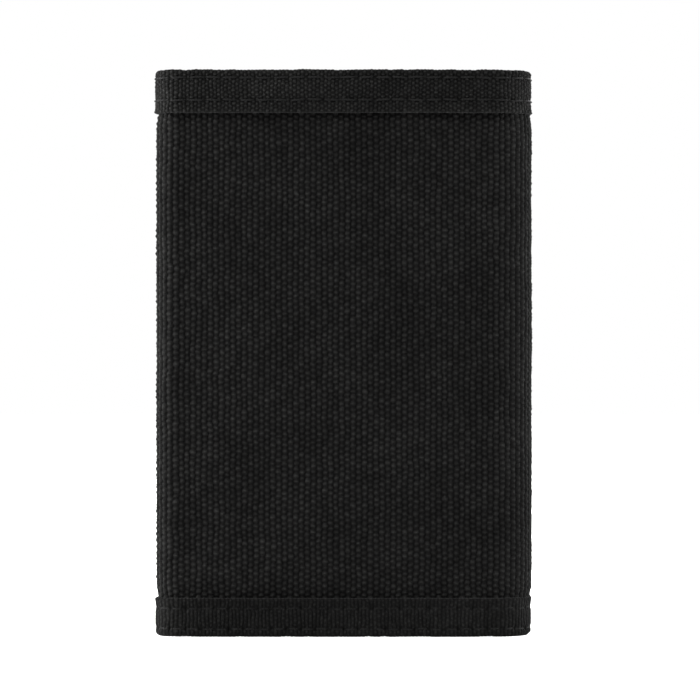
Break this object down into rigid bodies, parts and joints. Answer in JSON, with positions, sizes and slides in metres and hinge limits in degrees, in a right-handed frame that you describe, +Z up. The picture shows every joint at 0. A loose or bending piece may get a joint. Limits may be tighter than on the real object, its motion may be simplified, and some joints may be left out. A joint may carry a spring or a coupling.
{
  "type": "trifold wallet",
  "caption": "Canvas trifold wallet with tape-bound edges, note pocket, card pockets, clear window, zipped coin pocket and a hook-and-loop closure; shown with its outer flap half open.",
  "frame": {"origin": "middle of the centre panel's lower edge, on the surface that the wallet stands on", "axes": "+Z up along the fold lines, +X across the centre panel towards the outer fold, +Y from the centre panel's outside towards the flaps"},
  "size_m": [0.084, 0.0943, 0.127],
  "materials": {
    "canvas": "coarse plain-woven black canvas",
    "webbing": "fine plain-woven black binding tape",
    "lining": "thin black nylon",
    "pocket_cloth": "black nylon cloth",
    "hook": "black nylon hooks",
    "loop": "black nylon loops",
    "zip_tape": "black woven zip tape",
    "zip_metal": "worn nickel",
    "clear_film": "clear soft vinyl"
  },
  "bodies": {
    "centre": {"card_pocket_back": "pocket_cloth", "card_pocket_front": "pocket_cloth", "card_pocket_middle": "pocket_cloth", "centre_bottom_binding": "webbing", "centre_lining": "lining", "centre_lining_binding": "webbing", "centre_shell": "canvas", "centre_top_binding": "webbing"},
    "inner_fold": {"inner_fold_bottom_binding": "webbing", "inner_fold_lining": "lining", "inner_fold_lining_binding": "webbing", "inner_fold_shell": "canvas", "inner_fold_top_binding": "webbing"},
    "inner_flap": {"id_window_film": "clear_film", "id_window_frame": "canvas", "inner_flap_bottom_binding": "webbing", "inner_flap_end_binding": "webbing", "inner_flap_lining": "lining", "inner_flap_lining_binding": "webbing", "inner_flap_shell": "canvas", "inner_flap_top_binding": "webbing", "loop_strip": "loop"},
    "outer_fold": {"outer_fold_bottom_binding": "webbing", "outer_fold_lining": "lining", "outer_fold_lining_binding": "webbing", "outer_fold_shell": "canvas", "outer_fold_top_binding": "webbing"},
    "outer_flap": {"coin_pocket_front": "canvas", "hook_patch": "canvas", "hook_strip": "hook", "outer_flap_bottom_binding": "webbing", "outer_flap_end_binding": "webbing", "outer_flap_lining": "lining", "outer_flap_lining_binding": "webbing", "outer_flap_shell": "canvas", "outer_flap_top_binding": "webbing", "zip_end_stop": "zip_metal", "zip_stop_fold_side": "zip_metal", "zip_stop_free_side": "zip_metal", "zip_tape_fold_side": "zip_tape", "zip_tape_free_side": "zip_tape", "zip_teeth_fold_side": "zip_metal", "zip_teeth_free_side": "zip_metal"},
    "zip_slider": {"zip_slider": "zip_metal"},
    "zip_pull": {"zip_pull": "zip_metal"}
  },
  "joints": [
    {"name": "inner_fold_front_crease", "type": "hinge", "parent": "centre", "child": "inner_fold", "pos_m": [-0.04003, -0.00053, 0.0635], "axis": [0, 0, 1], "range_deg": [0, 90], "deforming": ["inner_fold_shell", "inner_fold_top_binding", "inner_fold_lining", "inner_fold_lining_binding", "inner_fold_bottom_binding"]},
    {"name": "inner_fold_rear_crease", "type": "hinge", "parent": "inner_fold", "child": "inner_flap", "pos_m": [-0.04003, 0.00583, 0.0635], "axis": [0, 0, 1], "range_deg": [0, 90], "deforming": ["inner_fold_shell", "inner_fold_top_binding", "inner_fold_lining", "inner_fold_lining_binding", "inner_fold_bottom_binding"]},
    {"name": "outer_fold_front_crease", "type": "hinge", "parent": "centre", "child": "outer_fold", "pos_m": [0.03931, 0.00019, 0.0635], "axis": [0, 0, -1], "range_deg": [0, 90], "deforming": ["outer_fold_shell", "outer_fold_top_binding", "outer_fold_lining", "outer_fold_lining_binding", "outer_fold_bottom_binding"]},
    {"name": "outer_fold_rear_crease", "type": "hinge", "parent": "outer_fold", "child": "outer_flap", "pos_m": [0.03931, 0.01301, 0.0635], "axis": [0, 0, -1], "range_deg": [-90, 0], "deforming": ["outer_fold_shell", "outer_fold_top_binding", "outer_fold_lining", "outer_fold_lining_binding", "outer_fold_bottom_binding"]},
    {"name": "zip_travel", "type": "slide", "parent": "outer_flap", "child": "zip_slider", "axis": [0, 0, 1], "range_m": [0, 0.0689], "deforming": ["zip_teeth_fold_side", "zip_teeth_free_side"]},
    {"name": "pull_swing", "type": "hinge", "parent": "zip_slider", "child": "zip_pull", "pos_m": [0.03465, 0.03932, 0.028], "axis": [0, 1, 0], "range_deg": [0, 180]}
  ]
}
